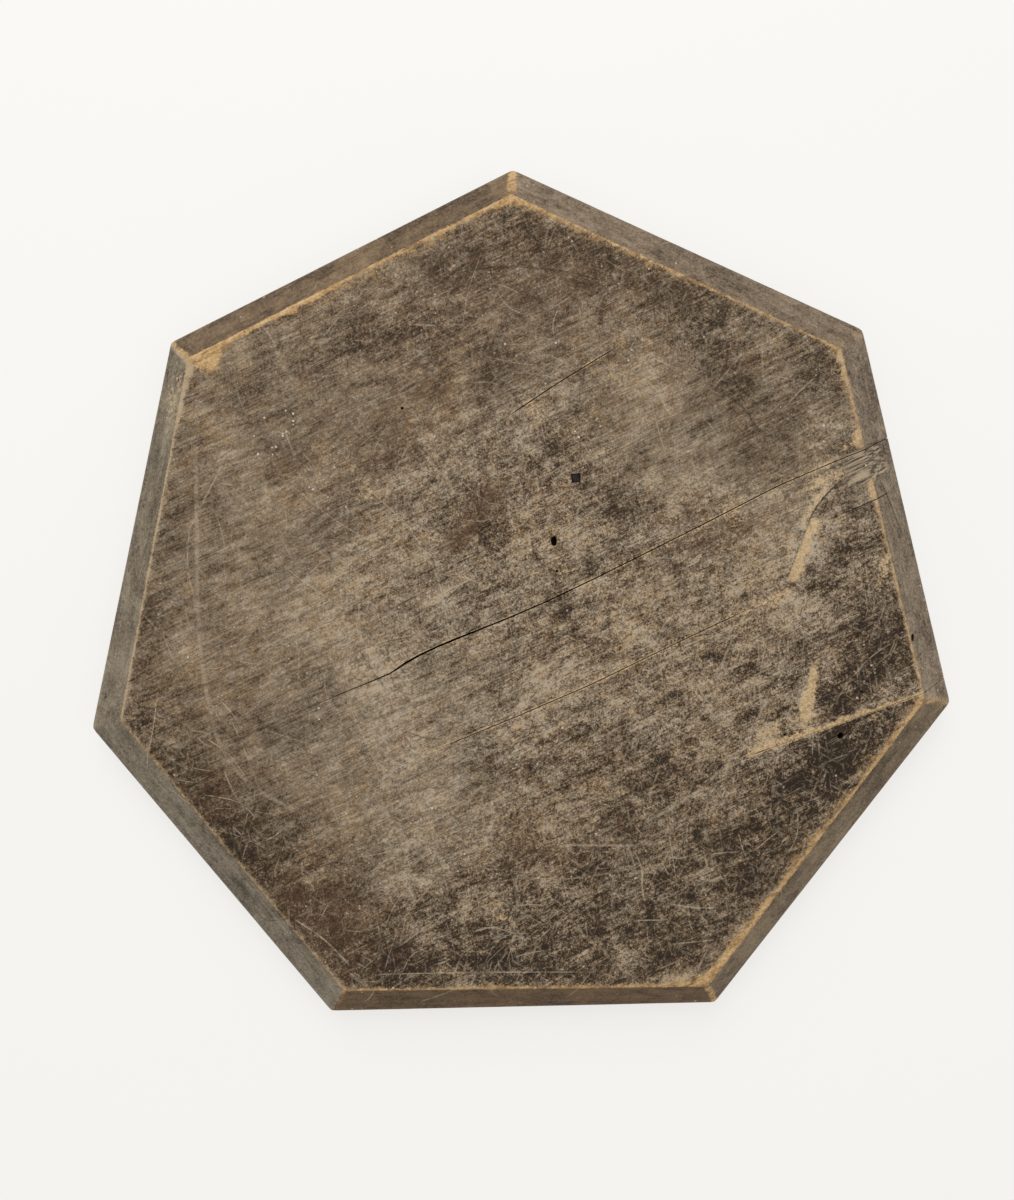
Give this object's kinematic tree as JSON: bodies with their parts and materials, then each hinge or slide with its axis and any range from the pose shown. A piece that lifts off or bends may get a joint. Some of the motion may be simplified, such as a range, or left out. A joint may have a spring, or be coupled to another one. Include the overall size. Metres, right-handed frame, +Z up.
{
  "type": "crokinole board",
  "caption": "Seven-sided aged timber game board with planed bevels round a flat play face, made of dowelled planks held flat by battens on the back.",
  "frame": {"origin": "centre of the bounding box on the plane the battens rest on", "axes": "+Z up, out of the play face; +Y towards the corner of the outline that stands at the top; +X to the right of the face"},
  "size_m": [0.7498, 0.7288, 0.056],
  "materials": {
    "aged_face_wood": "dull, dark, worn and dirty",
    "batten_wood": "bare, sawn and dusty",
    "dowel_wood": "bare turned wood",
    "dull_steel": "tarnished steel",
    "black_iron": "blackened and rusty"
  },
  "bodies": {
    "root": {"plank_upper": "aged_face_wood", "plank_middle": "aged_face_wood", "plank_lower": "aged_face_wood", "batten_left": "batten_wood", "batten_right": "batten_wood", "screws_left": "dull_steel", "screws_right": "dull_steel", "dowels_upper_joint": "dowel_wood", "dowels_lower_joint": "dowel_wood", "old_nail": "black_iron"}
  },
  "joints": []
}
